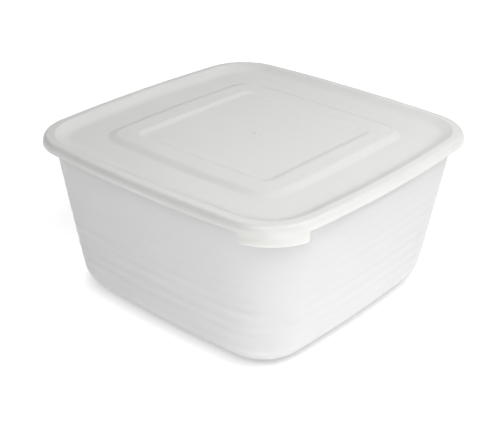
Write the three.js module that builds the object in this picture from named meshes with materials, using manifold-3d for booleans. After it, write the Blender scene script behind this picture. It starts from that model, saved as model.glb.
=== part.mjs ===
// Square food storage container: a tapered, ribbed tub and a press-on lid with a corner lifting tab.
// Millimetres, +Z up. The origin is the middle of the underside and the tab is at the +X, -Y corner.
import * as THREE from 'three';
import { mergeVertices } from 'three/addons/utils/BufferGeometryUtils.js';
import Module from 'manifold-3d';

// Overall sizes
const LID_WIDTH = 200; // across the middles of two opposite sides, at the foot of the skirt
const OVERALL_HEIGHT = 99.3;
const SIDE_BOW = 2.5; // how far the middle of a side of the lid stands out past its corners
const CLEARANCE = 0.3; // between the tub and the lid wherever they meet

// Corner radii, each set against its neighbour so that the corners stay nested
const LID_CORNER_RADIUS = 33.2;
const MOUTH_CORNER_GAIN = 1.5; // from the lid to the tub's wall under the lip
const FOOT_CORNER_LOSS = 6.3; // from the wall under the lip down to where the wall would meet the ground
const RIM_CORNER_LOSS = 6.7; // from the wall under the lip to the inner edge of the lid's rim

// Tub: lip, wall and base
const TUB_WALL = 1.3;
const TUB_FLOOR = 1.5;
const WALL_DRAFT_DEGREES = 7.75;
const FOOT_BOW = 1.45;
const BASE_ROUND = 17.5;
const LIP_OVERHANG = 2.6;
const LIP_EDGE = 1.1; // the flat end of the lip, past the bend that leads into it
const LIP_ROUND = 0.6;
const FOOT_BAND = 8;
const FOOT_RECESS = 0.6;
const FOOT_STEP_RUN = 0.8;

// Tub: shallow rounded ribs that run right round the wall in pairs
const RIB_PAIR_PITCH = 15.85;
const RIB_SPACING = 7.2; // between the two ribs of a pair
const RIB_WIDTH = 6.8;
const RIB_HEIGHT = 0.3;
const FIRST_PAIR_ABOVE_ROUND = 8.4;
const PLAIN_BAND_UNDER_LIP = 8;

// Lid: rim and skirt
const LID_WALL = 1.3;
const MOUTH_GAP = 1.3; // from the inside of the tub's wall in to the edge of the rim
const RIM_ROUND_ACROSS = 2.85; // how far the round at the outer edge reaches in over the top
const RIM_ROUND_DOWN = 4.6; // and how far it reaches down the skirt
const RIM_INNER_ROUND = 0.1;
const SKIRT_HEIGHT = 5.35;
const SKIRT_DRAFT = 0.1;
const CHANNEL_CHAMFER = 0.55; // inside the rim, where its underside meets the skirt

// Lid: sunk panel, raised plateau, sunk middle and the mark where the plastic was let in
const PANEL_DEPTH = 3.1;
const PANEL_SLOPE_RUN = 12;
const PANEL_SLOPE_BEND = 0.64; // share of the slope that is hollow, before it runs straight up to the rim
const PANEL_SLOPE_CURVE = 3; // exponent of the hollow share
const PLATEAU_WIDTH = 119.4;
const PLATEAU_HEIGHT = 1.6;
const PLATEAU_SLOPE_RUN = 7;
const PLATEAU_CORNER_RADIUS = 10.5;
const PLATEAU_BOW = 1;
const RECESS_WIDTH = 102.2;
const RECESS_DEPTH = 0.9;
const RECESS_SLOPE_RUN = 5.5;
const RECESS_CORNER_RADIUS = 8.2;
const GATE_MARK_DIAMETER = 2.4;
const GATE_MARK_HEIGHT = 0.4;

// Lid: lifting tab, a longer stretch of the skirt round one corner
const TAB_WIDTH = 35;
const TAB_DROP = 5.15;
const TAB_FLARE = 1.5;
const TAB_CORNER_RADIUS = 2;

// Fineness of the facets
const SIDE_STEPS = 6;
const CORNER_STEPS = 10;
const ROUND_STEPS = 6;
const EDGE_STEPS = 4;
const STEP_STEPS = 4;
const RIB_STEPS = 3;
const FLARE_STEPS = 3;
const MARK_SIDES = 24;

// Colours of the translucent white plastic
const TUB_COLOUR = 0xeeeeee;
const LID_COLOUR = 0xefefec;
const PLASTIC_ROUGHNESS = 0.38;

// Levels that follow from the sizes above
const SKIRT_Z = OVERALL_HEIGHT - SKIRT_HEIGHT;
const TAB_Z = SKIRT_Z - TAB_DROP;
const RIM_UNDER_Z = OVERALL_HEIGHT - LID_WALL;
const PANEL_Z = OVERALL_HEIGHT - PANEL_DEPTH;
const PLATEAU_Z = PANEL_Z + PLATEAU_HEIGHT;
const RECESS_Z = PLATEAU_Z - RECESS_DEPTH;
const LIP_TOP_Z = RIM_UNDER_Z - CLEARANCE;
const LIP_UNDER_Z = LIP_TOP_Z - TUB_WALL;
const FLOOR_Z = FOOT_RECESS + TUB_FLOOR;

// Half widths at the corners, from the lid's skirt inwards
const DRAFT = THREE.MathUtils.degToRad(WALL_DRAFT_DEGREES);
const LID_HALF = LID_WIDTH / 2 - SIDE_BOW;
const SKIRT_TOP_HALF = LID_HALF - SKIRT_DRAFT;
const SKIRT_INNER_HALF = SKIRT_TOP_HALF - LID_WALL;
const SKIRT_FOOT_WALL = LID_HALF - SKIRT_INNER_HALF;
const LIP_HALF = SKIRT_INNER_HALF - CLEARANCE;
const LIP_BEND = LIP_OVERHANG - LIP_EDGE;
const MOUTH_HALF = LIP_HALF - LIP_OVERHANG;
const RIM_INNER_HALF = MOUTH_HALF - TUB_WALL - MOUTH_GAP;

// Corner radii to match
const SKIRT_TOP_CORNER = LID_CORNER_RADIUS - SKIRT_DRAFT;
const LIP_CORNER = SKIRT_TOP_CORNER - LID_WALL - CLEARANCE;
const MOUTH_CORNER = LID_CORNER_RADIUS + MOUTH_CORNER_GAIN;
const FOOT_CORNER = MOUTH_CORNER - FOOT_CORNER_LOSS;
const RIM_INNER_CORNER = MOUTH_CORNER - RIM_CORNER_LOSS;

const { lerp, smoothstep } = THREE.MathUtils;
const manifold = await Module();
manifold.setup();

// A ring is a rounded square lying flat: half its width at the corners, its corner radius, the bow of its
// sides and its height.
function ring(half, corner, bow, z) {
  return { half, corner, bow, z };
}

// The same ring with its edge moved outwards by an offset, at another height
function offsetRing(base, offset, z) {
  return ring(base.half + offset, base.corner + offset, base.bow, z);
}

function blendRings(from, to, share, z) {
  return ring(
    lerp(from.half, to.half, share),
    lerp(from.corner, to.corner, share),
    lerp(from.bow, to.bow, share),
    z,
  );
}

// Even shares from 0 to 1
function shares(steps) {
  return Array.from({ length: steps + 1 }, (_, index) => index / steps);
}

// One quarter of a ring, round the +X side and on through the corner that follows it. The side is a shallow
// arch, as high as its bow, that runs smoothly into the round of the corner.
function quarterPoints({ half, corner, bow }) {
  const middle = half - corner;
  const lean = 2 * Math.atan2(bow, middle);
  const cornerPoint = (turn) => [middle + corner * Math.cos(turn), middle + corner * Math.sin(turn)];
  const [endX, endY] = cornerPoint(lean);
  const points = [];
  for (let step = 0; step < SIDE_STEPS; step += 1) {
    const along = (2 * step) / SIDE_STEPS - 1;
    points.push([lerp(half + bow, endX, along ** 2), endY * along]);
  }
  for (let step = 0; step < CORNER_STEPS; step += 1) {
    points.push(cornerPoint(lerp(lean, Math.PI / 2 - lean, step / CORNER_STEPS)));
  }
  return points;
}

function ringPoints(shape) {
  const quarter = quarterPoints(shape);
  const points = [];
  for (let side = 0; side < 4; side += 1) {
    const angle = (side * Math.PI) / 2;
    for (const [x, y] of quarter) {
      points.push(x * Math.cos(angle) - y * Math.sin(angle));
      points.push(x * Math.sin(angle) + y * Math.cos(angle));
      points.push(shape.z);
    }
  }
  return points;
}

// Quads between each ring and the next, as two triangles each
function bandTriangles(ringPairs, count) {
  const triangles = [];
  for (const [from, to] of ringPairs) {
    for (let step = 0; step < count; step += 1) {
      const next = (step + 1) % count;
      const corners = [from * count + step, to * count + step, to * count + next, from * count + next];
      triangles.push(corners[0], corners[1], corners[2], corners[0], corners[2], corners[3]);
    }
  }
  return triangles;
}

function geometryOf(positions, triangles) {
  const geometry = new THREE.BufferGeometry();
  geometry.setAttribute('position', new THREE.Float32BufferAttribute(positions, 3));
  geometry.setIndex(triangles);
  return geometry;
}

// Skin through a chain of rings that starts over the middle, runs out, round the edge and back underneath.
// Both ends close at a point on the axis.
function loftShell(rings) {
  const positions = rings.flatMap(ringPoints);
  const count = positions.length / 3 / rings.length;
  const pairs = rings.slice(1).map((_, index) => [index, index + 1]);
  const triangles = bandTriangles(pairs, count);
  const topMiddle = positions.length / 3;
  const underMiddle = topMiddle + 1;
  const lastRing = (rings.length - 1) * count;
  positions.push(0, 0, rings[0].z, 0, 0, rings[rings.length - 1].z);
  for (let step = 0; step < count; step += 1) {
    const next = (step + 1) % count;
    triangles.push(topMiddle, step, next);
    triangles.push(underMiddle, lastRing + next, lastRing + step);
  }
  return geometryOf(positions, triangles);
}

// Skin through rings that close on themselves, as a picture frame does
function loftFrame(rings) {
  const positions = rings.flatMap(ringPoints);
  const count = positions.length / 3 / rings.length;
  const pairs = rings.map((_, index) => [index, (index + 1) % rings.length]);
  return geometryOf(positions, bandTriangles(pairs, count));
}

function solidOf(geometry) {
  const bare = geometry.clone();
  bare.deleteAttribute('normal');
  bare.deleteAttribute('uv');
  const merged = mergeVertices(bare);
  return new manifold.Manifold(new manifold.Mesh({
    numProp: 3,
    vertProperties: new Float32Array(merged.attributes.position.array),
    triVerts: new Uint32Array(merged.index.array),
  }));
}

function meshOf(name, solid, colour) {
  const { vertProperties, triVerts } = solid.getMesh();
  const geometry = geometryOf(vertProperties, Array.from(triVerts));
  geometry.computeVertexNormals();
  const material = new THREE.MeshStandardMaterial({
    color: colour,
    roughness: PLASTIC_ROUGHNESS,
    metalness: 0,
  });
  const mesh = new THREE.Mesh(geometry, material);
  mesh.name = name;
  return mesh;
}

// Low round nub on the axis, half of it sunk into the flat face at faceZ
function gateMark(faceZ) {
  const radius = GATE_MARK_DIAMETER / 2;
  const geometry = new THREE.CylinderGeometry(radius, radius, 2 * GATE_MARK_HEIGHT, MARK_SIDES);
  geometry.rotateX(Math.PI / 2);
  geometry.translate(0, 0, faceZ);
  return solidOf(geometry);
}

// Tub

// The tapered wall at height z, set in from its outer face
function wallRing(z, inset) {
  const share = z / LIP_UNDER_Z;
  return ring(
    MOUTH_HALF - (LIP_UNDER_Z - z) * Math.tan(DRAFT) - inset / Math.cos(DRAFT),
    lerp(FOOT_CORNER, MOUTH_CORNER, share) - inset,
    lerp(FOOT_BOW, SIDE_BOW, share),
    z,
  );
}

// The round between a floor and the wall, from the floor up
function baseRoundRings(floorZ, inset, radius) {
  const middleZ = floorZ + radius;
  const middleHalf = wallRing(middleZ, inset).half - radius / Math.cos(DRAFT);
  const wall = wallRing(middleZ - radius * Math.sin(DRAFT), inset);
  return shares(ROUND_STEPS).map((share) => {
    const turn = lerp(Math.PI / 2, DRAFT, share);
    const half = middleHalf + radius * Math.cos(turn);
    return offsetRing(wall, half - wall.half, middleZ - radius * Math.sin(turn));
  });
}

function ribRings() {
  const highest = LIP_UNDER_Z - PLAIN_BAND_UNDER_LIP - (RIB_SPACING + RIB_WIDTH) / 2;
  const middles = [];
  for (let z = BASE_ROUND + FIRST_PAIR_ABOVE_ROUND; z < highest; z += RIB_PAIR_PITCH) {
    middles.push(z - RIB_SPACING / 2, z + RIB_SPACING / 2);
  }
  return middles.flatMap((middle) => shares(RIB_STEPS).map((share) => {
    const level = middle + (share - 0.5) * RIB_WIDTH;
    const swell = RIB_HEIGHT * Math.sin(share * Math.PI) ** 2;
    return offsetRing(wallRing(level, 0), swell, level);
  }));
}

// The wall bends outwards at the mouth into a flat lip with a rounded edge
function lipRings() {
  const bendZ = LIP_UNDER_Z - LIP_BEND;
  const wall = wallRing(bendZ, 0);
  const bendOut = LIP_BEND / Math.cos(DRAFT);
  const bendRings = (radius) => shares(EDGE_STEPS).map((share) => {
    const turn = lerp(Math.PI - DRAFT, Math.PI / 2, share);
    return offsetRing(wall, bendOut + radius * Math.cos(turn), bendZ + radius * Math.sin(turn));
  });
  const edge = ring(LIP_HALF, LIP_CORNER, SIDE_BOW, LIP_TOP_Z);
  return [
    ...bendRings(LIP_BEND + TUB_WALL),
    offsetRing(edge, -LIP_ROUND, LIP_TOP_Z),
    offsetRing(edge, 0, LIP_TOP_Z - LIP_ROUND),
    offsetRing(edge, 0, LIP_UNDER_Z + LIP_ROUND),
    offsetRing(edge, -LIP_ROUND, LIP_UNDER_Z),
    ...bendRings(LIP_BEND).reverse(),
  ];
}

function footRings() {
  const rim = baseRoundRings(0, 0, BASE_ROUND)[0];
  return [
    offsetRing(rim, -FOOT_BAND, 0),
    offsetRing(rim, -FOOT_BAND - FOOT_STEP_RUN, FOOT_RECESS),
  ];
}

function makeTub() {
  const inside = baseRoundRings(FLOOR_Z, TUB_WALL, BASE_ROUND - TUB_WALL);
  const outside = [...baseRoundRings(0, 0, BASE_ROUND), ...ribRings()].reverse();
  const shell = solidOf(loftShell([...inside, ...lipRings(), ...outside, ...footRings()]));
  return meshOf('tub', shell.add(gateMark(FOOT_RECESS)), TUB_COLOUR);
}

// Lid

// A smooth step from one ring to another, easing in and out of its slope
function stepRings(from, to) {
  return shares(STEP_STEPS).map((share) => {
    const z = lerp(from.z, to.z, smoothstep(share, 0, 1));
    return blendRings(from, to, share, z);
  });
}

// The middle of the lid from the recess out to the panel, lowered to make its underside
function panelStepRings(lower) {
  const recess = ring(RECESS_WIDTH / 2, RECESS_CORNER_RADIUS, 0, PLATEAU_Z - lower);
  const plateau = ring(
    PLATEAU_WIDTH / 2,
    PLATEAU_CORNER_RADIUS,
    PLATEAU_BOW,
    PLATEAU_Z - lower,
  );
  const recessFoot = offsetRing(recess, -RECESS_SLOPE_RUN, RECESS_Z - lower);
  const plateauFoot = offsetRing(plateau, PLATEAU_SLOPE_RUN, PANEL_Z - lower);
  return [...stepRings(recessFoot, recess), ...stepRings(plateau, plateauFoot)];
}

function rimEdge(z) {
  return ring(RIM_INNER_HALF, RIM_INNER_CORNER, SIDE_BOW, z);
}

// Height and steepness along the slope from the panel up to the rim, both as shares of its rise
function slopeForm(share) {
  const hollow = PANEL_SLOPE_BEND / PANEL_SLOPE_CURVE;
  const whole = hollow + 1 - PANEL_SLOPE_BEND;
  const bent = Math.min(share / PANEL_SLOPE_BEND, 1);
  const straight = Math.max(share - PANEL_SLOPE_BEND, 0);
  return {
    height: (hollow * bent ** PANEL_SLOPE_CURVE + straight) / whole,
    steepness: bent ** (PANEL_SLOPE_CURVE - 1) / whole,
  };
}

// The slope from the panel up to the rim, at a depth below its face
function slopeRings(depth) {
  const rise = PANEL_DEPTH - RIM_INNER_ROUND;
  const foot = offsetRing(rimEdge(PANEL_Z), -PANEL_SLOPE_RUN, PANEL_Z);
  return shares(ROUND_STEPS).map((share) => {
    const { height, steepness } = slopeForm(share);
    const tilt = Math.atan((steepness * rise) / PANEL_SLOPE_RUN);
    const z = PANEL_Z + rise * height - depth * Math.cos(tilt);
    return offsetRing(foot, share * PANEL_SLOPE_RUN + depth * Math.sin(tilt), z);
  });
}

function rimRings() {
  const outer = ring(SKIRT_TOP_HALF, SKIRT_TOP_CORNER, SIDE_BOW, OVERALL_HEIGHT);
  const edge = shares(EDGE_STEPS).map((share) => {
    const turn = (share * Math.PI) / 2;
    const inset = RIM_ROUND_ACROSS * (1 - Math.sin(turn));
    return offsetRing(outer, -inset, OVERALL_HEIGHT - RIM_ROUND_DOWN * (1 - Math.cos(turn)));
  });
  return [offsetRing(rimEdge(OVERALL_HEIGHT), RIM_INNER_ROUND, OVERALL_HEIGHT), ...edge];
}

// The skirt's lower stretch, long enough for the tab all the way round, then its inner face
function skirtRings() {
  const foot = ring(LID_HALF, LID_CORNER_RADIUS, SIDE_BOW, SKIRT_Z);
  const outer = shares(FLARE_STEPS).map((share) => {
    const z = SKIRT_Z - share * (TAB_DROP + LID_WALL);
    return offsetRing(foot, TAB_FLARE * share ** 2, z);
  });
  const inner = outer.map((shape) => offsetRing(shape, -SKIRT_FOOT_WALL, shape.z)).reverse();
  const chamfer = [
    offsetRing(foot, -SKIRT_FOOT_WALL, RIM_UNDER_Z - CHANNEL_CHAMFER),
    offsetRing(foot, -SKIRT_FOOT_WALL - CHANNEL_CHAMFER, RIM_UNDER_Z),
  ];
  return [...outer, ...inner, ...chamfer];
}

// The outline of the tab as seen along the lid's diagonal, with rounded feet and hollow shoulders
function tabOutline() {
  const half = TAB_WIDTH / 2;
  const round = TAB_CORNER_RADIUS;
  const shoulder = half + round;
  const shape = new THREE.Shape();
  shape.moveTo(-shoulder, OVERALL_HEIGHT);
  shape.lineTo(-shoulder, SKIRT_Z);
  shape.absarc(-shoulder, SKIRT_Z - round, round, Math.PI / 2, 0, true);
  shape.absarc(-half + round, TAB_Z + round, round, Math.PI, 1.5 * Math.PI, false);
  shape.absarc(half - round, TAB_Z + round, round, 1.5 * Math.PI, 2 * Math.PI, false);
  shape.absarc(shoulder, SKIRT_Z - round, round, Math.PI, Math.PI / 2, true);
  shape.lineTo(shoulder, OVERALL_HEIGHT);
  return shape;
}

function tabPrism() {
  const geometry = new THREE.ExtrudeGeometry(tabOutline(), {
    depth: LID_WIDTH,
    bevelEnabled: false,
    curveSegments: ROUND_STEPS,
  });
  const up = new THREE.Vector3(0, 0, 1);
  const diagonal = new THREE.Vector3(1, -1, 0).normalize();
  const along = new THREE.Vector3().crossVectors(up, diagonal);
  return solidOf(geometry.applyMatrix4(new THREE.Matrix4().makeBasis(along, up, diagonal)));
}

// What is trimmed off the long skirt to leave the plain skirt and the tab
function skirtTrimmer() {
  const inner = ring(LIP_HALF, LIP_CORNER, SIDE_BOW, SKIRT_Z);
  const outer = ring(LID_HALF, LID_CORNER_RADIUS, SIDE_BOW, SKIRT_Z);
  const reach = TAB_FLARE + LID_WALL;
  const under = TAB_Z - 2 * LID_WALL;
  const frame = solidOf(loftFrame([
    inner,
    offsetRing(outer, reach, SKIRT_Z),
    offsetRing(outer, reach, under),
    offsetRing(inner, 0, under),
  ]));
  return frame.subtract(tabPrism());
}

function makeLid() {
  const top = [...panelStepRings(0), ...slopeRings(0), ...rimRings()];
  const channelRoot = offsetRing(rimEdge(RIM_UNDER_Z), LID_WALL, RIM_UNDER_Z);
  const slopeUnder = slopeRings(LID_WALL).slice(0, -1);
  const underside = [...panelStepRings(LID_WALL), ...slopeUnder, channelRoot].reverse();
  const shell = solidOf(loftShell([...top, ...skirtRings(), ...underside]));
  const trimmed = shell.subtract(skirtTrimmer());
  return meshOf('lid', trimmed.add(gateMark(RECESS_Z)), LID_COLOUR);
}

const container = new THREE.Group();
container.name = 'square_food_container';
container.add(makeTub(), makeLid());

export default container;
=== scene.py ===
# %% [markdown]
# # A square food container in white polypropylene
# The container is two thin mouldings: a ribbed tub and a press-on lid that has a lifting tab at one corner.
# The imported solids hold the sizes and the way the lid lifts. This lesson gives both pieces a fine, smooth
# skin, their plastic, and a pale studio to stand in. Everything is in metres, +Z is up, the origin is the
# middle of the underside, and the tab is at the +X, -Y corner.

# %% Load the frame
import math

import bpy
from mathutils import Matrix, Vector


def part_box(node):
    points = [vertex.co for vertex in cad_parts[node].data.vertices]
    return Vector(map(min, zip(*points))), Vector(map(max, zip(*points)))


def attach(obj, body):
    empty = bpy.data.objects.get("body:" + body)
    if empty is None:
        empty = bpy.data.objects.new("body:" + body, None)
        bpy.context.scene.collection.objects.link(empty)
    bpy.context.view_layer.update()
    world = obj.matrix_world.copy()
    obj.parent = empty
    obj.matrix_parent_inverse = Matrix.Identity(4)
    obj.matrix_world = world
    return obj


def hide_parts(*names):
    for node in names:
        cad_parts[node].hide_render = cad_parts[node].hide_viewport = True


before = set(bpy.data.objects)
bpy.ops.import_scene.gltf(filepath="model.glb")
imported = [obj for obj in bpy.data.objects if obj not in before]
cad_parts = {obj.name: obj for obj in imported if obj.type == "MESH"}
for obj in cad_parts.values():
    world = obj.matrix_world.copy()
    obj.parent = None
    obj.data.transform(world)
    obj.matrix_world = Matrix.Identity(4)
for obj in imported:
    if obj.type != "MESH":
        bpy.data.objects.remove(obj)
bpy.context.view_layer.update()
tub_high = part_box("tub")[1]
lid_low, lid_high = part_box("lid")
scene = bpy.context.scene
MM = 0.001

# %% [markdown]
# ## The camera
# The photograph looks at one corner from a little above the rim. Its angles, distance and focal length were
# found by matching the outline of the lid and the tub. The camera is built straight from those angles
# instead of a tracking constraint, because a small roll and a small step aside belong to the match.

# %% Camera
IMAGE_WIDTH = 490
FOCAL_LENGTH_PIXELS = 1060.2
VIEW_AZIMUTH = math.radians(40.78)
VIEW_ELEVATION = math.radians(26.95)
VIEW_ROLL = math.radians(0.90)
VIEW_DISTANCE = 645.5 * MM
VIEW_HEIGHT = 48.76 * MM
STEP_RIGHT = -5.55 * MM
STEP_UP = -3.85 * MM


def make_camera():
    """A camera on the line of sight of the photograph, rolled and stepped aside as the match asks."""
    across = math.cos(VIEW_ELEVATION)
    back = Vector((
        math.sin(VIEW_AZIMUTH) * across,
        -math.cos(VIEW_AZIMUTH) * across,
        math.sin(VIEW_ELEVATION),
    ))
    right = Vector((math.cos(VIEW_AZIMUTH), math.sin(VIEW_AZIMUTH), 0))
    up = back.cross(right)
    eye = Vector((0, 0, VIEW_HEIGHT)) + back * VIEW_DISTANCE + right * STEP_RIGHT + up * STEP_UP
    turned_right = right * math.cos(VIEW_ROLL) + up * math.sin(VIEW_ROLL)
    turned_up = up * math.cos(VIEW_ROLL) - right * math.sin(VIEW_ROLL)
    data = bpy.data.cameras.new("photo_camera")
    data.sensor_fit = "HORIZONTAL"
    data.lens = data.sensor_width * FOCAL_LENGTH_PIXELS / IMAGE_WIDTH
    camera = bpy.data.objects.new("photo_camera", data)
    scene.collection.objects.link(camera)
    axes = Matrix((turned_right, turned_up, back)).transposed()
    camera.matrix_world = Matrix.Translation(eye) @ axes.to_4x4()
    return camera


scene.camera = make_camera()
print("lens in mm:", round(scene.camera.data.lens, 1))

# %% [markdown]
# ## A section that is swept round
# Cut through level, both pieces show a rounded square whose sides bow out a little. So each piece can be
# described by its section alone: a line of points that runs from the axis over one face, round the edge and
# back along the other face. A plain revolve would make a round pot, and box modelling with bevels can't hold
# a corner that changes from level to level. Here every point of the section carries its own corner radius
# and bow, and Geometry Nodes sweep it round with one rule.

# %% Points of a section
LONG_RUN = 4


def point(half, corner, bow, level, tab=0.0, rib=0.0):
    """One point of a section. tab and rib say how far the tab's pull and the ribs' swell reach it."""
    return {"half": half, "corner": corner, "bow": bow, "level": level, "tab": tab, "rib": rib}


def moved(base, out, level, tab=0.0):
    """The same rounded square grown outwards by a distance, at another level."""
    return point(base["half"] + out, base["corner"] + out, base["bow"], level, tab)


def mix(start, end, share):
    return start + (end - start) * share


def shares(steps):
    return [step / steps for step in range(steps + 1)]


def supported(points, distance):
    """Adds a point near both ends of each run over LONG_RUN distances long, so that flats shade flat."""
    result = points[:1]
    for start, end in zip(points, points[1:]):
        length = math.hypot(end["half"] - start["half"], end["level"] - start["level"])
        if length > LONG_RUN * distance:
            for share in (distance / length, 1 - distance / length):
                result.append({name: mix(start[name], end[name], share) for name in start})
        result.append(end)
    return result


# %% Steps, rounds and nubs in a section


def blended(start, end, share, level):
    names = ("half", "corner", "bow")
    half, corner, bow = [mix(start[name], end[name], share) for name in names]
    return point(half, corner, bow, level)


def ease(share):
    return share * share * (3 - 2 * share)


def eased_step(start, end, steps):
    """A soft step from one rounded square to another, level at both ends."""
    return [
        blended(start, end, share, mix(start["level"], end["level"], ease(share)))
        for share in shares(steps)
    ]


def arc(base, out, level, radius, first, last, steps, tab=0.0):
    """A round in the section: its middle is at a distance out from base, and it turns between two angles."""
    turns = [mix(first, last, share) for share in shares(steps)]
    return [
        moved(base, out + radius * math.cos(turn), level + radius * math.sin(turn), tab)
        for turn in turns
    ]


def nub(level, height, radius, edge, steps):
    """A low round nub on the axis, from its top down to the face that it stands on."""
    side = point(radius, radius, 0, level)
    rise = math.copysign(edge, height)
    crown = [
        moved(side, edge * (math.sin(turn) - 1), level + height - rise * (1 - math.cos(turn)))
        for turn in [share * math.pi / 2 for share in shares(steps)]
    ]
    return [point(0, 0, 0, level + height), *crown, side]


# %% [markdown]
# ## The sweep itself
# The node group below lays a grid with one row for each point of the section and many columns round the
# piece. It looks up the row's half width, corner radius and bow, and works out where that column lies on the
# rounded square: first along a side, which is a shallow arch, then round the corner that follows. The last
# column falls on the first, so a weld at the end closes the skin.

# %% Helpers for node trees


def feed(tree, socket, value):
    """Gives an input another node's output or a plain value."""
    if isinstance(value, bpy.types.NodeSocket):
        tree.links.new(value, socket)
    else:
        socket.default_value = value


def add(tree, kind, settings=None, **values):
    """A node with its settings, and with its inputs given by name as sockets or plain values."""
    node = tree.nodes.new(kind)
    for name, value in (settings or {}).items():
        setattr(node, name, value)
    for name, value in values.items():
        feed(tree, node.inputs[name.replace("_", " ")], value)
    return node


def calc(tree, operation, *values):
    """One step of arithmetic on numbers, as a node."""
    node = add(tree, "ShaderNodeMath", {"operation": operation})
    for socket, value in zip(node.inputs, values):
        feed(tree, socket, value)
    return node.outputs[0]


def between(tree, start, end, share):
    """start + (end - start) * share, as nodes."""
    return calc(tree, "MULTIPLY_ADD", calc(tree, "SUBTRACT", end, start), share, start)


def scaled(tree, vector, scale):
    """A colour or a direction times a number, as a node."""
    settings = {"operation": "SCALE"}
    return add(tree, "ShaderNodeVectorMath", settings, Vector=vector, Scale=scale).outputs[0]


# %% Helpers for Geometry Nodes


def new_tree(name, inputs, outputs):
    """A tree with named inputs and outputs, and the sockets that stand for them inside it."""
    tree = bpy.data.node_groups.new(name, "GeometryNodeTree")
    for in_out, sockets in (("INPUT", inputs), ("OUTPUT", outputs)):
        for label, kind in sockets:
            tree.interface.new_socket(label, in_out=in_out, socket_type=kind)
    given = tree.nodes.new("NodeGroupInput").outputs
    result = tree.nodes.new("NodeGroupOutput").inputs
    return tree, given, result


def attribute(tree, name):
    node = add(tree, "GeometryNodeInputNamedAttribute", {"data_type": "FLOAT"}, Name=name)
    return node.outputs["Attribute"]


def position(tree):
    return add(tree, "GeometryNodeInputPosition").outputs[0]


def apart(tree, vector):
    """The X, Y and Z of a vector, as sockets."""
    return add(tree, "ShaderNodeSeparateXYZ", Vector=vector).outputs


def store(tree, geometry, name, value):
    """The same geometry with a number stored on every point."""
    settings = {"data_type": "FLOAT", "domain": "POINT"}
    kind = "GeometryNodeStoreNamedAttribute"
    return add(tree, kind, settings, Geometry=geometry, Name=name, Value=value).outputs[0]


def look_up(tree, geometry, kind, value, index):
    """What a value is at one point of another geometry."""
    settings = {"data_type": kind, "domain": "POINT"}
    node = add(tree, "GeometryNodeSampleIndex", settings, Geometry=geometry, Value=value, Index=index)
    return node.outputs[0]


# %% Nodes: places on a rounded square


def whole_and_rest(tree, count, size):
    """How often a size goes into a whole number, and what is left. The half keeps clear of rounding."""
    whole = calc(tree, "FLOOR", calc(tree, "DIVIDE", calc(tree, "ADD", count, 0.5), size))
    return whole, calc(tree, "SUBTRACT", count, calc(tree, "MULTIPLY", whole, size))


def on_corner_round(tree, middle, corner, turn):
    """A place on the corner's round, at an angle about its middle."""
    x = calc(tree, "MULTIPLY_ADD", corner, calc(tree, "COSINE", turn), middle)
    y = calc(tree, "MULTIPLY_ADD", corner, calc(tree, "SINE", turn), middle)
    return x, y


def on_arched_side(tree, crown, end_x, end_y, place, side_columns):
    """A place on the side, which is a shallow arch between its two ends."""
    share = calc(tree, "DIVIDE", calc(tree, "MULTIPLY", place, 2.0), side_columns)
    along = calc(tree, "SUBTRACT", share, 1.0)
    x = between(tree, crown, end_x, calc(tree, "MULTIPLY", along, along))
    y = calc(tree, "MULTIPLY", end_y, along)
    return x, y


def in_quarter(tree, half, corner, bow, place, side_columns, corner_columns):
    """A place in the first quarter turn: along the side, then round the corner that follows."""
    middle = calc(tree, "SUBTRACT", half, corner)
    lean = calc(tree, "MULTIPLY", calc(tree, "ARCTAN2", bow, middle), 2.0)
    end_x, end_y = on_corner_round(tree, middle, corner, lean)
    crown = calc(tree, "ADD", half, bow)
    side_x, side_y = on_arched_side(tree, crown, end_x, end_y, place, side_columns)
    round_share = calc(tree, "DIVIDE", calc(tree, "SUBTRACT", place, side_columns), corner_columns)
    turn = between(tree, lean, calc(tree, "SUBTRACT", math.pi / 2, lean), round_share)
    corner_x, corner_y = on_corner_round(tree, middle, corner, turn)
    at_corner = calc(tree, "GREATER_THAN", place, calc(tree, "SUBTRACT", side_columns, 0.5))
    return between(tree, side_x, corner_x, at_corner), between(tree, side_y, corner_y, at_corner)


# %% Node group: a section swept round a rounded square
SWEEP_INPUTS = [
    ("Section", "NodeSocketGeometry"),
    ("Side Columns", "NodeSocketInt"),
    ("Corner Columns", "NodeSocketInt"),
]


def make_sweep_group():
    tree, given, result = new_tree("rounded_square_sweep", SWEEP_INPUTS, [("Skin", "NodeSocketGeometry")])
    section = given["Section"]
    side_columns = given["Side Columns"]
    corner_columns = given["Corner Columns"]
    counted = add(tree, "GeometryNodeAttributeDomainSize", {"component": "MESH"}, Geometry=section)
    quarter_columns = calc(tree, "ADD", side_columns, corner_columns)
    columns = calc(tree, "MULTIPLY_ADD", quarter_columns, 4.0, 1.0)
    grid = add(tree, "GeometryNodeMeshGrid", Vertices_X=counted.outputs["Point Count"], Vertices_Y=columns)
    index = add(tree, "GeometryNodeInputIndex").outputs[0]
    row, column = whole_and_rest(tree, index, columns)
    quarter, place = whole_and_rest(tree, column, quarter_columns)

    spot = apart(tree, look_up(tree, section, "FLOAT_VECTOR", position(tree), row))
    corner, bow, tab = [
        look_up(tree, section, "FLOAT", attribute(tree, name), row) for name in ("corner", "bow", "tab")
    ]
    x, y = in_quarter(tree, spot["X"], corner, bow, place, side_columns, corner_columns)
    flat = add(tree, "ShaderNodeCombineXYZ", X=x, Y=y, Z=spot["Z"]).outputs[0]
    quarter_turn = calc(tree, "MULTIPLY", quarter, math.pi / 2)
    turned = add(tree, "ShaderNodeVectorRotate", {"rotation_type": "Z_AXIS"}, Vector=flat, Angle=quarter_turn)
    kept = store(tree, grid.outputs["Mesh"], "tab", tab)
    skin = add(tree, "GeometryNodeSetPosition", Geometry=kept, Position=turned.outputs[0])
    feed(tree, result["Skin"], skin.outputs[0])
    return tree


sweep_group = make_sweep_group()
print("sweep group:", len(sweep_group.nodes), "nodes")

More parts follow.
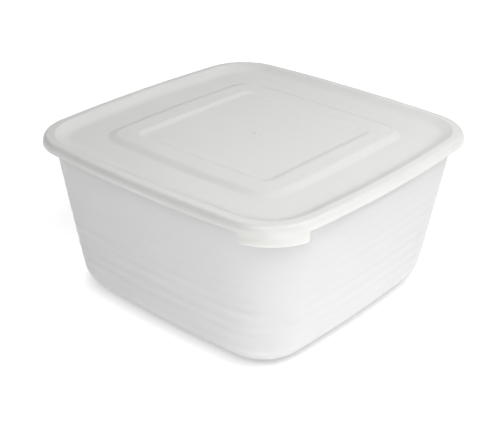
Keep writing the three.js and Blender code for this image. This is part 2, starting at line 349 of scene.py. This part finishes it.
# %% The start and the end of each piece's tree
PIECE_INPUTS = [
    *SWEEP_INPUTS,
    ("Weld Distance", "NodeSocketFloat"),
    ("Plastic", "NodeSocketMaterial"),
]
PIECE_OUTPUTS = [("Piece", "NodeSocketGeometry")]
WELD_DISTANCE = 0.005 * MM


def add_sweep(tree, section, given):
    """The sweep group as one node in a piece's tree."""
    node = tree.nodes.new("GeometryNodeGroup")
    node.node_tree = sweep_group
    feed(tree, node.inputs["Section"], section)
    for name in ("Side Columns", "Corner Columns"):
        feed(tree, node.inputs[name], given[name])
    return node.outputs["Skin"]


def weld_and_finish(tree, skin, given, result):
    """Closes the seams, shades smooth, and gives the piece its plastic."""
    distance = given["Weld Distance"]
    welded = add(tree, "GeometryNodeMergeByDistance", Geometry=skin, Distance=distance).outputs[0]
    smooth = add(tree, "GeometryNodeSetShadeSmooth", Geometry=welded).outputs[0]
    real = add(tree, "GeometryNodeRealizeInstances", Geometry=smooth).outputs[0]
    painted = add(tree, "GeometryNodeSetMaterial", Geometry=real, Material=given["Plastic"]).outputs[0]
    feed(tree, result["Piece"], painted)


# %% [markdown]
# ## From a section to a finished mesh
# The modifier sits on a mesh that is only the section's line. Its inputs are set by their identifiers before
# Blender first works it out. The result is then copied into a plain mesh, because the pieces that are handed
# on must not depend on a live modifier.

# %% Section object and baking


def section_mesh(name, points):
    mesh = bpy.data.meshes.new(name)
    edges = [(index, index + 1) for index in range(len(points) - 1)]
    mesh.from_pydata([(spot["half"], 0, spot["level"]) for spot in points], edges, [])
    for label in ("corner", "bow", "tab", "rib"):
        layer = mesh.attributes.new(label, "FLOAT", "POINT")
        layer.data.foreach_set("value", [spot[label] for spot in points])
    return mesh


def build_piece(name, points, tree, values):
    """Sweeps a section by a tree with these inputs, and returns the result as a plain mesh object."""
    source = bpy.data.objects.new(name + "_section", section_mesh(name + "_section", points))
    scene.collection.objects.link(source)
    modifier = source.modifiers.new(tree.name, "NODES")
    modifier.node_group = tree
    identifiers = {
        item.name: item.identifier for item in tree.interface.items_tree if item.in_out == "INPUT"
    }
    for label, value in values.items():
        modifier[identifiers[label]] = value
    depsgraph = bpy.context.evaluated_depsgraph_get()
    mesh = bpy.data.meshes.new_from_object(source.evaluated_get(depsgraph), depsgraph=depsgraph)
    mesh.attributes.remove(mesh.attributes["tab"])
    bpy.data.objects.remove(source)
    mesh.name = name
    piece = bpy.data.objects.new(name, mesh)
    scene.collection.objects.link(piece)
    triangles = sum(len(face.vertices) - 2 for face in mesh.polygons)
    print(name, "has", len(mesh.vertices), "points and", triangles, "triangles")
    return piece


# %% [markdown]
# ## Translucent white polypropylene
# Unfilled polypropylene is milky: light enters it, scatters for a few millimetres and comes out again, so
# edges look soft and shadows fill in. A plain white diffuse colour would look like chalk. Subsurface
# scattering on a closed wall of the real thickness gives that milky depth. A very fine grain from the mould
# and slow waves left by shrinking break up the sheen, and cloudy changes in colour and roughness keep the
# large faces from looking computed. A small darker patch on the axis is painted shade round the nub where
# the plastic entered the mould.

# %% Plastic
CLOUDS = {"Scale": 22.0, "Detail": 3.0, "Roughness": 0.5}
GRAIN = {"Scale": 2600.0, "Detail": 2.0, "Roughness": 0.6}
WAVES = {"Scale": 48.0, "Detail": 1.0, "Roughness": 0.4}
GRAIN_BUMP = {"Strength": 0.05, "Distance": 0.02 * MM}
WAVE_BUMP = {"Strength": 0.25, "Distance": 0.10 * MM}
COLOUR_CHANGE = 0.03
ROUGHNESS_CHANGE = 0.06
# The patch on the lid's axis is painted shade round the gate nub; this is its radius.
PAINTED_SHADE_RADIUS = 4.0 * MM
SCATTER_SHARE = 0.6
SCATTER_REACH = 2.5 * MM
SCATTER_BALANCE = (1.0, 0.98, 0.92)
PLASTIC_IOR = 1.49
TUB_COLOUR = (0.72, 0.72, 0.72)
TUB_ROUGHNESS = 0.42
LID_COLOUR = (0.72, 0.72, 0.705)
LID_ROUGHNESS = 0.31
# How much painted shade darkens the lid round its gate nub.
LID_PAINTED_GATE_SHADE = 0.02


def noise(tree, places, kind):
    """Smooth random values from 0 to 1 over a piece."""
    return add(tree, "ShaderNodeTexNoise", Vector=places, **kind).outputs["Fac"]


def painted_shade_patch(tree, places, depth):
    """Painted shade in a soft round patch on the axis: depth at its middle, 0 outside it."""
    axes = apart(tree, places)
    squares = calc(tree, "MULTIPLY_ADD", axes["X"], axes["X"], calc(tree, "POWER", axes["Y"], 2.0))
    patch = add(
        tree, "ShaderNodeMapRange", {"interpolation_type": "SMOOTHSTEP"},
        Value=calc(tree, "SQRT", squares),
        From_Min=PAINTED_SHADE_RADIUS, From_Max=PAINTED_SHADE_RADIUS / 2, To_Max=depth,
    )
    return patch.outputs[0]


def make_plastic(name, colour, roughness, painted_gate_shade=0.0):
    """White polypropylene. The last argument is how much painted shade darkens the patch on the axis."""
    material = bpy.data.materials.new(name)
    material.use_nodes = True
    tree = material.node_tree
    shader = tree.nodes["Principled BSDF"].inputs
    places = add(tree, "ShaderNodeTexCoord").outputs["Object"]
    clouds = noise(tree, places, CLOUDS)
    cloudy = calc(tree, "MULTIPLY_ADD", clouds, COLOUR_CHANGE, 1 - COLOUR_CHANGE / 2)
    # Painted shade round the gate nub is taken off the cloudy colour.
    shade = calc(tree, "SUBTRACT", cloudy, painted_shade_patch(tree, places, painted_gate_shade))
    feed(tree, shader["Base Color"], scaled(tree, colour, shade))
    least = roughness - ROUGHNESS_CHANGE / 2
    feed(tree, shader["Roughness"], calc(tree, "MULTIPLY_ADD", clouds, ROUGHNESS_CHANGE, least))
    grain = add(tree, "ShaderNodeBump", Height=noise(tree, places, GRAIN), **GRAIN_BUMP)
    waves = add(tree, "ShaderNodeBump", Height=noise(tree, places, WAVES), **WAVE_BUMP)
    feed(tree, waves.inputs["Normal"], grain.outputs[0])
    feed(tree, shader["Normal"], waves.outputs[0])
    shader["Subsurface Weight"].default_value = SCATTER_SHARE
    shader["Subsurface Radius"].default_value = SCATTER_BALANCE
    shader["Subsurface Scale"].default_value = SCATTER_REACH
    shader["IOR"].default_value = PLASTIC_IOR
    return material


tub_plastic = make_plastic("tub_polypropylene", TUB_COLOUR, TUB_ROUGHNESS)
lid_plastic = make_plastic("lid_polypropylene", LID_COLOUR, LID_ROUGHNESS, LID_PAINTED_GATE_SHADE)
print("plastics:", tub_plastic.name, lid_plastic.name)

# %% [markdown]
# ## The tub
# The tub tapers so that it leaves its mould and stacks in others. Its corners are a little tighter at the
# base than at the mouth, a wide round runs along the base, and the wall bends out at the mouth into a flat
# lip that the lid grips. Underneath, a low foot band keeps the middle of the base off the table. Lofting
# through a few levels would make the wall too, and the section does it with the bend and the lip included.

# %% Tub sizes
SIDE_BOW = 2.5 * MM
FOOT_BOW = 1.45 * MM
LID_CORNER = 33.2 * MM
MOUTH_CORNER = LID_CORNER + 1.5 * MM
FOOT_CORNER = MOUTH_CORNER - 6.3 * MM
TUB_WALL = 1.3 * MM
TUB_FLOOR = 1.5 * MM
DRAFT = math.radians(7.75)
BASE_ROUND = 17.5 * MM
LIP_ROUND = 0.6 * MM
LIP_OVERHANG = 2.6 * MM
LIP_EDGE = 1.1 * MM
LIP_BEND = LIP_OVERHANG - LIP_EDGE
FOOT_BAND = 8 * MM
FOOT_RECESS = 0.6 * MM
FOOT_STEP_RUN = 0.8 * MM
GATE_RADIUS = 1.2 * MM
GATE_HEIGHT = 0.4 * MM
GATE_EDGE = 0.25 * MM
LIP_TOP = tub_high.z
LIP_UNDER = LIP_TOP - TUB_WALL
LIP_HALF = tub_high.x - SIDE_BOW
LIP_CORNER = LID_CORNER - 1.7 * MM
MOUTH_HALF = LIP_HALF - LIP_OVERHANG
print("mouth half width in mm:", round(MOUTH_HALF / MM, 2))

# %% Tub wall, base round and lip
LIP_OVER_STEPS = 10
LIP_UNDER_STEPS = 8
LIP_EDGE_STEPS = 4


def wall_point(level, inset, rib=0.0):
    """The tapered wall at a level, set in from its outer face."""
    share = level / LIP_UNDER
    half = MOUTH_HALF - (LIP_UNDER - level) * math.tan(DRAFT) - inset / math.cos(DRAFT)
    corner = mix(FOOT_CORNER, MOUTH_CORNER, share) - inset
    return point(half, corner, mix(FOOT_BOW, SIDE_BOW, share), level, rib=rib)


def wall_run(low, high, inset, steps, rib):
    """The wall between two levels, without its ends."""
    return [wall_point(mix(low, high, share), inset, rib) for share in shares(steps)][1:-1]


def base_round(floor, inset, radius, steps):
    """The round between a floor and the wall, from the floor up."""
    middle = floor + radius
    wall = wall_point(middle - radius * math.sin(DRAFT), inset)
    out = wall_point(middle, inset)["half"] - radius / math.cos(DRAFT) - wall["half"]
    return arc(wall, out, middle, radius, -math.pi / 2, -DRAFT, steps)


def lip():
    """The wall bends outwards into a flat lip with a rounded edge, from the inner face over to the outer."""
    bend_level = LIP_UNDER - LIP_BEND
    wall = wall_point(bend_level, 0)
    bend_out = LIP_BEND / math.cos(DRAFT)
    upright = math.pi - DRAFT
    over = arc(wall, bend_out, bend_level, LIP_BEND + TUB_WALL, upright, math.pi / 2, LIP_OVER_STEPS)
    under = arc(wall, bend_out, bend_level, LIP_BEND, math.pi / 2, upright, LIP_UNDER_STEPS)
    edge = point(LIP_HALF, LIP_CORNER, SIDE_BOW, LIP_TOP)
    upper = arc(edge, -LIP_ROUND, LIP_TOP - LIP_ROUND, LIP_ROUND, math.pi / 2, 0, LIP_EDGE_STEPS)
    lower = arc(edge, -LIP_ROUND, LIP_UNDER + LIP_ROUND, LIP_ROUND, 0, -math.pi / 2, LIP_EDGE_STEPS)
    return [*over, *upper, *lower, *under]


# %% Tub section
INNER_ROUND_STEPS = 16
INNER_WALL_STEPS = 10
OUTER_ROUND_STEPS = 24
OUTER_WALL_STEPS = 110
FOOT_STEPS = 6
GATE_STEPS = 4
SUPPORT_DISTANCE = 0.3 * MM


def tub_section():
    """From the axis along the inside, over the lip, down the ribbed outside and back under the base."""
    inner_floor = FOOT_RECESS + TUB_FLOOR
    inside = base_round(inner_floor, TUB_WALL, BASE_ROUND - TUB_WALL, INNER_ROUND_STEPS)
    mouth = lip()
    inner_wall = wall_run(inside[-1]["level"], mouth[0]["level"], TUB_WALL, INNER_WALL_STEPS, 0)
    outside = base_round(0, 0, BASE_ROUND, OUTER_ROUND_STEPS)
    outer_wall = wall_run(mouth[-1]["level"], outside[-1]["level"], 0, OUTER_WALL_STEPS, 1)
    band_edge = moved(outside[0], -FOOT_BAND, 0)
    step = eased_step(band_edge, moved(band_edge, -FOOT_STEP_RUN, FOOT_RECESS), FOOT_STEPS)
    floor = [point(0, 0, 0, inside[0]["level"])]
    gate = nub(FOOT_RECESS, -GATE_HEIGHT, GATE_RADIUS, GATE_EDGE, GATE_STEPS)[::-1]
    return [*floor, *inside, *inner_wall, *mouth, *outer_wall, *outside[::-1], *step, *gate]


tub_points = supported(tub_section(), SUPPORT_DISTANCE)
print("tub section:", len(tub_points), "points")

# %% [markdown]
# ## Ribs round the tub
# Shallow, soft ribs run right round the wall and stiffen it. They come in pairs at one pitch and grow fainter
# towards the mouth, so a tree works them out: it takes each point of the outer wall, finds the nearest rib,
# and pushes the point out by a smooth swell before the section is swept round. Modelling each rib by hand
# would give the same shape and leave no single number to change.

# %% Tub tree
RIB_INPUTS = [
    ("Pair First", "NodeSocketFloat"),
    ("Pair Pitch", "NodeSocketFloat"),
    ("Pair Count", "NodeSocketInt"),
    ("Rib Spacing", "NodeSocketFloat"),
    ("Rib Width", "NodeSocketFloat"),
    ("Rib Height", "NodeSocketFloat"),
    ("Top Share", "NodeSocketFloat"),
]


def rib_swell(tree, given):
    """How far each point of the section is pushed out: a smooth crest that is highest on the nearest rib."""
    level = apart(tree, position(tree))["Z"]
    above = calc(tree, "DIVIDE", calc(tree, "SUBTRACT", level, given["Pair First"]), given["Pair Pitch"])
    last = calc(tree, "SUBTRACT", given["Pair Count"], 1.0)
    nearest = calc(tree, "MINIMUM", calc(tree, "MAXIMUM", calc(tree, "ROUND", above), 0.0), last)
    from_pair = calc(tree, "MULTIPLY", calc(tree, "SUBTRACT", above, nearest), given["Pair Pitch"])
    half_spacing = calc(tree, "MULTIPLY", given["Rib Spacing"], 0.5)
    away = calc(tree, "ABSOLUTE", calc(tree, "SUBTRACT", calc(tree, "ABSOLUTE", from_pair), half_spacing))
    share = calc(tree, "MINIMUM", calc(tree, "DIVIDE", away, given["Rib Width"]), 0.5)
    crest = calc(tree, "POWER", calc(tree, "COSINE", calc(tree, "MULTIPLY", share, math.pi)), 2.0)
    fade = between(tree, 1.0, given["Top Share"], calc(tree, "DIVIDE", nearest, last))
    height = calc(tree, "MULTIPLY", given["Rib Height"], fade)
    return calc(tree, "MULTIPLY", calc(tree, "MULTIPLY", crest, height), attribute(tree, "rib"))


def make_tub_tree():
    tree, given, result = new_tree("tub_of_ribbed_section", PIECE_INPUTS + RIB_INPUTS, PIECE_OUTPUTS)
    swell = rib_swell(tree, given)
    wider_corner = calc(tree, "ADD", attribute(tree, "corner"), swell)
    wider = store(tree, given["Section"], "corner", wider_corner)
    push = add(tree, "ShaderNodeCombineXYZ", X=swell).outputs[0]
    ribbed = add(tree, "GeometryNodeSetPosition", Geometry=wider, Offset=push).outputs[0]
    weld_and_finish(tree, add_sweep(tree, ribbed, given), given, result)
    return tree


# %% Tub skin
SIDE_COLUMNS = 30
TUB_CORNER_COLUMNS = 56
RIB_PAIR_FIRST = BASE_ROUND + 8.4 * MM
RIB_PAIR_PITCH = 15.85 * MM
RIB_PAIR_COUNT = 4
RIB_SPACING = 7.2 * MM
RIB_WIDTH = 6.8 * MM
RIB_HEIGHT = 0.3 * MM
RIB_TOP_SHARE = 0.3

tub_skin = build_piece("tub_skin", tub_points, make_tub_tree(), {
    "Side Columns": SIDE_COLUMNS,
    "Corner Columns": TUB_CORNER_COLUMNS,
    "Weld Distance": WELD_DISTANCE,
    "Plastic": tub_plastic,
    "Pair First": RIB_PAIR_FIRST,
    "Pair Pitch": RIB_PAIR_PITCH,
    "Pair Count": RIB_PAIR_COUNT,
    "Rib Spacing": RIB_SPACING,
    "Rib Width": RIB_WIDTH,
    "Rib Height": RIB_HEIGHT,
    "Top Share": RIB_TOP_SHARE,
})
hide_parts("tub")
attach(tub_skin, "tub")

# %% [markdown]
# ## The lid
# The lid is one thin sheet. From the middle outwards it has a small nub where the plastic entered, a sunk
# square, a raised plateau that the next box stands on, a sunk panel, a hollow slope up to a flat rim, and a
# short skirt that grips the lip of the tub. Its section runs over the top, round the foot of the skirt and
# back underneath at the same wall thickness. A thickness modifier on an open sheet would be quicker, but it
# would leave out the chamfer in the channel that the lip sits in.

# %% Lid sizes
LID_TOP = lid_high.z
LID_WALL = 1.3 * MM
LID_HALF = lid_high.x - SIDE_BOW
SKIRT_DRAFT = 0.1 * MM
SKIRT_HEIGHT = 5.35 * MM
SKIRT_FOOT = LID_TOP - SKIRT_HEIGHT
SKIRT_FOOT_ROUND = 0.4 * MM
SKIRT_TOP_HALF = LID_HALF - SKIRT_DRAFT
SKIRT_WALL = SKIRT_DRAFT + LID_WALL
RIM_ROUND_ACROSS = 2.85 * MM
RIM_ROUND_DOWN = 4.6 * MM
RIM_EDGE_DROP = 0.1 * MM
RIM_INNER_HALF = MOUTH_HALF - TUB_WALL - LID_WALL
RIM_INNER_CORNER = MOUTH_CORNER - 6.7 * MM
RIM_UNDER = LID_TOP - LID_WALL
CHANNEL_CHAMFER = 0.55 * MM
PANEL_DEPTH = 3.1 * MM
PANEL_SLOPE_RUN = 12 * MM
PANEL_SLOPE_RISE = PANEL_DEPTH - RIM_EDGE_DROP
PANEL_SLOPE_BEND = 0.64
PANEL_SLOPE_CURVE = 3
PANEL = LID_TOP - PANEL_DEPTH
PLATEAU_HALF = 59.7 * MM
PLATEAU_BOW = 1 * MM
PLATEAU_CORNER = 10.5 * MM
PLATEAU_SLOPE_RUN = 7 * MM
PLATEAU_RISE = 1.6 * MM
PLATEAU = PANEL + PLATEAU_RISE
RECESS_HALF = 51.1 * MM
RECESS_CORNER = 8.2 * MM
RECESS_SLOPE_RUN = 5.5 * MM
RECESS_DEPTH = 0.9 * MM
RECESS = PLATEAU - RECESS_DEPTH
print("panel, plateau and recess levels in mm:", [round(level / MM, 2) for level in (PANEL, PLATEAU, RECESS)])

# %% Lid panels and slope
PANEL_STEPS = 12


def middle_steps(lower):
    """From the sunk square out to the panel, lowered by a distance for the underside."""
    recess = point(RECESS_HALF, RECESS_CORNER, 0, PLATEAU - lower)
    plateau = point(PLATEAU_HALF, PLATEAU_CORNER, PLATEAU_BOW, PLATEAU - lower)
    recess_foot = moved(recess, -RECESS_SLOPE_RUN, RECESS - lower)
    plateau_foot = moved(plateau, PLATEAU_SLOPE_RUN, PANEL - lower)
    return [*eased_step(recess_foot, recess, PANEL_STEPS), *eased_step(plateau, plateau_foot, PANEL_STEPS)]


def slope_form(share):
    """Height, as a share of the rise, and tilt along a hollow slope that runs out straight to the rim."""
    hollow_rise = PANEL_SLOPE_BEND / PANEL_SLOPE_CURVE
    whole = hollow_rise + 1 - PANEL_SLOPE_BEND
    bent = min(share / PANEL_SLOPE_BEND, 1)
    straight = max(share - PANEL_SLOPE_BEND, 0)
    height = (hollow_rise * bent ** PANEL_SLOPE_CURVE + straight) / whole
    steepness = bent ** (PANEL_SLOPE_CURVE - 1) / whole
    return height, math.atan(steepness * PANEL_SLOPE_RISE / PANEL_SLOPE_RUN)


def slope(depth, steps):
    """The hollow slope from the panel up to the rim, at a depth below its face."""
    edge = point(RIM_INNER_HALF, RIM_INNER_CORNER, SIDE_BOW, PANEL)
    run = []
    for share in shares(steps):
        height, tilt = slope_form(share)
        out = (share - 1) * PANEL_SLOPE_RUN + depth * math.sin(tilt)
        run.append(moved(edge, out, PANEL + PANEL_SLOPE_RISE * height - depth * math.cos(tilt)))
    return run


# %% Lid rim and skirt
RIM_EDGE_STEPS = 5
RIM_ROUND_STEPS = 16
TAB_ROWS = 10
TAB_INNER_ROWS = 6
FOOT_OUTER_STEPS = 5
FOOT_INNER_STEPS = 4


def rim():
    """A crisp inner edge, the flat top, and the round that leads over into the skirt."""
    tilt = slope_form(1)[1]
    edge = point(RIM_INNER_HALF, RIM_INNER_CORNER, SIDE_BOW, LID_TOP)
    reach = RIM_EDGE_DROP / math.sin(tilt)
    turn_out = RIM_EDGE_DROP / math.tan(tilt)
    crisp = [
        moved(edge, 2 * share * (1 - share) * turn_out + share ** 2 * (turn_out + reach),
              LID_TOP - (1 - share) ** 2 * RIM_EDGE_DROP)
        for share in shares(RIM_EDGE_STEPS)[1:]
    ]
    outer = point(SKIRT_TOP_HALF, LID_CORNER - SKIRT_DRAFT, SIDE_BOW, LID_TOP)
    over = [
        moved(outer, RIM_ROUND_ACROSS * (math.sin(turn) - 1), LID_TOP + RIM_ROUND_DOWN * (math.cos(turn) - 1))
        for turn in [share * math.pi / 2 for share in shares(RIM_ROUND_STEPS)]
    ]
    return [*crisp, *over]


def skirt():
    """Down the outer face, the rows that the tab pulls down, the rounded foot, and up the inner face."""
    foot = point(LID_HALF, LID_CORNER, SIDE_BOW, SKIRT_FOOT)
    low = SKIRT_FOOT + SKIRT_FOOT_ROUND
    down = -math.pi / 2
    inner = SKIRT_FOOT_ROUND - SKIRT_WALL
    outer_rows = [moved(foot, 0, low, share) for share in shares(TAB_ROWS)]
    outer_edge = arc(foot, -SKIRT_FOOT_ROUND, low, SKIRT_FOOT_ROUND, 0, down, FOOT_OUTER_STEPS, 1)
    inner_edge = arc(foot, inner, low, SKIRT_FOOT_ROUND, down, -math.pi, FOOT_INNER_STEPS, 1)
    inner_rows = [moved(foot, -SKIRT_WALL, low, share) for share in shares(TAB_INNER_ROWS)[::-1]]
    chamfer = [
        moved(foot, -SKIRT_WALL, RIM_UNDER - CHANNEL_CHAMFER),
        moved(foot, -SKIRT_WALL - CHANNEL_CHAMFER, RIM_UNDER),
    ]
    return [*outer_rows, *outer_edge[1:], *inner_edge, *inner_rows[1:], *chamfer]


# %% Lid section
SLOPE_STEPS = 24
SLOPE_UNDER_STEPS = 12


def lid_section():
    """From the axis over the top, round the foot of the skirt, and back underneath."""
    gate = nub(RECESS, GATE_HEIGHT, GATE_RADIUS, GATE_EDGE, GATE_STEPS)
    top = [*gate, *middle_steps(0), *slope(0, SLOPE_STEPS), *rim()]
    channel_root = point(RIM_INNER_HALF + LID_WALL, RIM_INNER_CORNER + LID_WALL, SIDE_BOW, RIM_UNDER)
    underside = [*middle_steps(LID_WALL), *slope(LID_WALL, SLOPE_UNDER_STEPS)[:-1], channel_root]
    return [*top, *skirt(), *underside[::-1], point(0, 0, 0, RECESS - LID_WALL)]


lid_points = supported(lid_section(), SUPPORT_DISTANCE)
print("lid section:", len(lid_points), "points")

# %% [markdown]
# ## The lifting tab
# At one corner the skirt hangs lower and flares out, so that a finger can lift the lid. The section already
# holds rows at the foot of the skirt that lie on top of each other. The tree below pulls those rows down
# inside the width of the tab, with round lower corners and small hollow shoulders, and leans them outwards.
# Everywhere else they stay together, and the weld makes them one. Cutting the tab out with a boolean would
# leave sharp edges and uneven shading.

# %% Lid tree
TAB_INPUTS = [
    (label, "NodeSocketFloat")
    for label in ("Tab Width", "Tab Drop", "Tab Flare", "Tab Corner", "Tab Shoulder", "Corner Middle")
]


def hollow(tree, radius, over):
    """How far a quarter circle has fallen away at a distance over along it."""
    left = calc(tree, "SUBTRACT", calc(tree, "POWER", radius, 2.0), calc(tree, "POWER", over, 2.0))
    return calc(tree, "SUBTRACT", radius, calc(tree, "SQRT", calc(tree, "MAXIMUM", left, 0.0)))


def tab_fall(tree, given, spot):
    """How far the lowest row is pulled down: the tab inside its width, and a small shoulder beside it."""
    across = calc(tree, "ABSOLUTE", calc(tree, "ADD", spot["X"], spot["Y"]))
    beside = calc(tree, "MULTIPLY", across, math.sqrt(0.5))
    half = calc(tree, "MULTIPLY", given["Tab Width"], 0.5)
    past_round = calc(tree, "SUBTRACT", beside, calc(tree, "SUBTRACT", half, given["Tab Corner"]))
    rounded = hollow(tree, given["Tab Corner"], calc(tree, "MAXIMUM", past_round, 0.0))
    inside_fall = calc(tree, "SUBTRACT", given["Tab Drop"], rounded)
    to_shoulder = calc(tree, "SUBTRACT", calc(tree, "ADD", half, given["Tab Shoulder"]), beside)
    outside_fall = hollow(tree, given["Tab Shoulder"], calc(tree, "MAXIMUM", to_shoulder, 0.0))
    fall = between(tree, outside_fall, inside_fall, calc(tree, "LESS_THAN", beside, half))
    at_corner = calc(tree, "GREATER_THAN", calc(tree, "SUBTRACT", spot["X"], spot["Y"]), 0.0)
    return calc(tree, "MULTIPLY", fall, at_corner)


def tab_lean(tree, given, spot, pulled):
    """The step outwards that goes with the pull, and grows towards the foot of the tab."""
    share = calc(tree, "DIVIDE", pulled, given["Tab Drop"])
    flare = calc(tree, "MULTIPLY", calc(tree, "POWER", share, 2.0), given["Tab Flare"])
    from_x = calc(tree, "SUBTRACT", spot["X"], given["Corner Middle"])
    from_y = calc(tree, "ADD", spot["Y"], given["Corner Middle"])
    outwards = add(tree, "ShaderNodeCombineXYZ", X=from_x, Y=from_y).outputs[0]
    heading = add(tree, "ShaderNodeVectorMath", {"operation": "NORMALIZE"}, Vector=outwards).outputs[0]
    return scaled(tree, heading, flare)


def make_lid_tree():
    tree, given, result = new_tree("lid_of_tabbed_section", PIECE_INPUTS + TAB_INPUTS, PIECE_OUTPUTS)
    swept = add_sweep(tree, given["Section"], given)
    spot = apart(tree, position(tree))
    pulled = calc(tree, "MULTIPLY", tab_fall(tree, given, spot), attribute(tree, "tab"))
    move = add(tree, "ShaderNodeVectorMath", {"operation": "ADD"})
    feed(tree, move.inputs[0], tab_lean(tree, given, spot, pulled))
    down = add(tree, "ShaderNodeCombineXYZ", Z=calc(tree, "MULTIPLY", pulled, -1.0))
    feed(tree, move.inputs[1], down.outputs[0])
    tabbed = add(tree, "GeometryNodeSetPosition", Geometry=swept, Offset=move.outputs[0]).outputs[0]
    weld_and_finish(tree, tabbed, given, result)
    return tree


# %% Lid skin
LID_CORNER_COLUMNS = 110
TAB_WIDTH = 35 * MM
TAB_DROP = SKIRT_FOOT - lid_low.z
TAB_FLARE = 1.5 * MM
TAB_CORNER = 2 * MM
TAB_SHOULDER = 1 * MM

lid_skin = build_piece("lid_skin", lid_points, make_lid_tree(), {
    "Side Columns": SIDE_COLUMNS,
    "Corner Columns": LID_CORNER_COLUMNS,
    "Weld Distance": WELD_DISTANCE,
    "Plastic": lid_plastic,
    "Tab Width": TAB_WIDTH,
    "Tab Drop": TAB_DROP,
    "Tab Flare": TAB_FLARE,
    "Tab Corner": TAB_CORNER,
    "Tab Shoulder": TAB_SHOULDER,
    "Corner Middle": LID_HALF - LID_CORNER,
})
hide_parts("lid")
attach(lid_skin, "lid")

# %% [markdown]
# ## The floor
# The container stands on a matt white sweep. A white floor in plain light comes out grey in a picture, so for
# the camera and for reflections it gets light of its own, up to full white far away. More lamps would also
# whiten it, but they would wash out the plastic. For all other rays it glows weakly and fills the walls from
# below, as a lit table does. A real floor is darkest right under an edge that stands on it, and the glow
# would hide that, so an occlusion node dims both the glow and the white close to the tub.

# %% Floor
FLOOR_WIDTH = 6.0
FLOOR_COLOUR = (0.92, 0.92, 0.92)
FLOOR_FILL = 0.38
FLOOR_LIFT = 0.65
SWEEP_START = 0.2
SWEEP_END = 0.6
CONTACT_REACH = 11 * MM
CONTACT_DEPTH = 0.5
CONTACT_SAMPLES = 8


def is_seen(tree):
    """1 for rays that show the surface itself, 0 for the light that it sends to other things."""
    path = add(tree, "ShaderNodeLightPath").outputs
    shown = calc(tree, "MAXIMUM", path["Is Glossy Ray"], path["Is Transmission Ray"])
    return calc(tree, "MAXIMUM", path["Is Camera Ray"], shown)


def floor_level(tree):
    """The floor's own light: a low fill for the walls, and where it is seen, more with the distance."""
    places = add(tree, "ShaderNodeTexCoord").outputs["Object"]
    away = add(tree, "ShaderNodeVectorMath", {"operation": "LENGTH"}, Vector=places).outputs["Value"]
    lift = add(
        tree, "ShaderNodeMapRange",
        Value=away, From_Min=SWEEP_START, From_Max=SWEEP_END, To_Min=FLOOR_LIFT,
    )
    return between(tree, FLOOR_FILL, lift.outputs[0], is_seen(tree))


def make_white_sweep():
    material = bpy.data.materials.new("white_sweep")
    material.use_nodes = True
    tree = material.node_tree
    tree.nodes.clear()
    settings = {"samples": CONTACT_SAMPLES}
    open_share = add(tree, "ShaderNodeAmbientOcclusion", settings, Distance=CONTACT_REACH).outputs["AO"]
    shade = calc(tree, "MULTIPLY_ADD", open_share, CONTACT_DEPTH, 1 - CONTACT_DEPTH)
    glow = add(tree, "ShaderNodeEmission", Strength=calc(tree, "MULTIPLY", floor_level(tree), shade))
    matt = add(tree, "ShaderNodeBsdfDiffuse", Color=scaled(tree, FLOOR_COLOUR, shade))
    both = add(tree, "ShaderNodeAddShader")
    feed(tree, both.inputs[0], matt.outputs[0])
    feed(tree, both.inputs[1], glow.outputs[0])
    add(tree, "ShaderNodeOutputMaterial", Surface=both.outputs[0])
    return material


def make_floor():
    edge = FLOOR_WIDTH / 2
    corners = [(-edge, -edge, 0), (edge, -edge, 0), (edge, edge, 0), (-edge, edge, 0)]
    mesh = bpy.data.meshes.new("floor")
    mesh.from_pydata(corners, [], [range(len(corners))])
    mesh.materials.append(make_white_sweep())
    floor = bpy.data.objects.new("floor", mesh)
    scene.collection.objects.link(floor)


make_floor()
print("floor", FLOOR_WIDTH, "m wide")

# %% [markdown]
# ## Lamps and backdrop
# A large soft box beside the camera and another at the right light the walls, and the right wall gets more of
# it. A smaller box hangs over the right of the lid and brings out its steps, a weak one behind keeps the far
# slopes from going dull, and a small low lamp brightens the near corner, so that the left wall lightens
# towards it. One big lamp overhead would be simpler, but it leaves all four walls alike. Each lamp is given
# by its turn from +X towards +Y and its tilt above the floor in degrees, its distance and size in metres, and
# its power in watts.

# %% Lights
LIGHTS = {
    "corner_low": {"turn": -35, "tilt": 8.5, "away": 0.3, "size": 0.08, "watts": 0.055},
    "front_left": {"turn": -60, "tilt": 45, "away": 1.5, "size": 0.9, "watts": 10.2},
    "right_high": {"turn": 10, "tilt": 60, "away": 0.45, "size": 0.25, "watts": 0.6},
    "right_back": {"turn": 30, "tilt": 45, "away": 1.5, "size": 0.9, "watts": 6.2},
    "back": {"turn": 120, "tilt": 45, "away": 1.5, "size": 0.9, "watts": 2.1},
}
LIGHT_TARGET = Vector((0, 0, 50 * MM))


def make_light(name, turn, tilt, away, size, watts):
    """A square soft box that looks at the middle of the container."""
    data = bpy.data.lights.new(name, "AREA")
    data.shape = "SQUARE"
    data.size = size
    data.energy = watts
    lamp = bpy.data.objects.new(name, data)
    across = away * math.cos(math.radians(tilt))
    lamp.location = (
        across * math.cos(math.radians(turn)),
        across * math.sin(math.radians(turn)),
        away * math.sin(math.radians(tilt)),
    )
    lamp.rotation_euler = (LIGHT_TARGET - lamp.location).to_track_quat("-Z", "Y").to_euler()
    lamp.visible_camera = False
    scene.collection.objects.link(lamp)


def make_world():
    """A white backdrop that is seen and reflected, and lights nothing."""
    world = bpy.data.worlds.new("studio")
    scene.world = world
    world.use_nodes = True
    tree = world.node_tree
    backdrop = tree.nodes["Background"]
    backdrop.inputs["Color"].default_value = (1, 1, 1, 1)
    feed(tree, backdrop.inputs["Strength"], is_seen(tree))


for light_name, setting in LIGHTS.items():
    make_light(light_name, **setting)
make_world()
scene.view_settings.view_transform = "Standard"
print("lights:", ", ".join(LIGHTS))
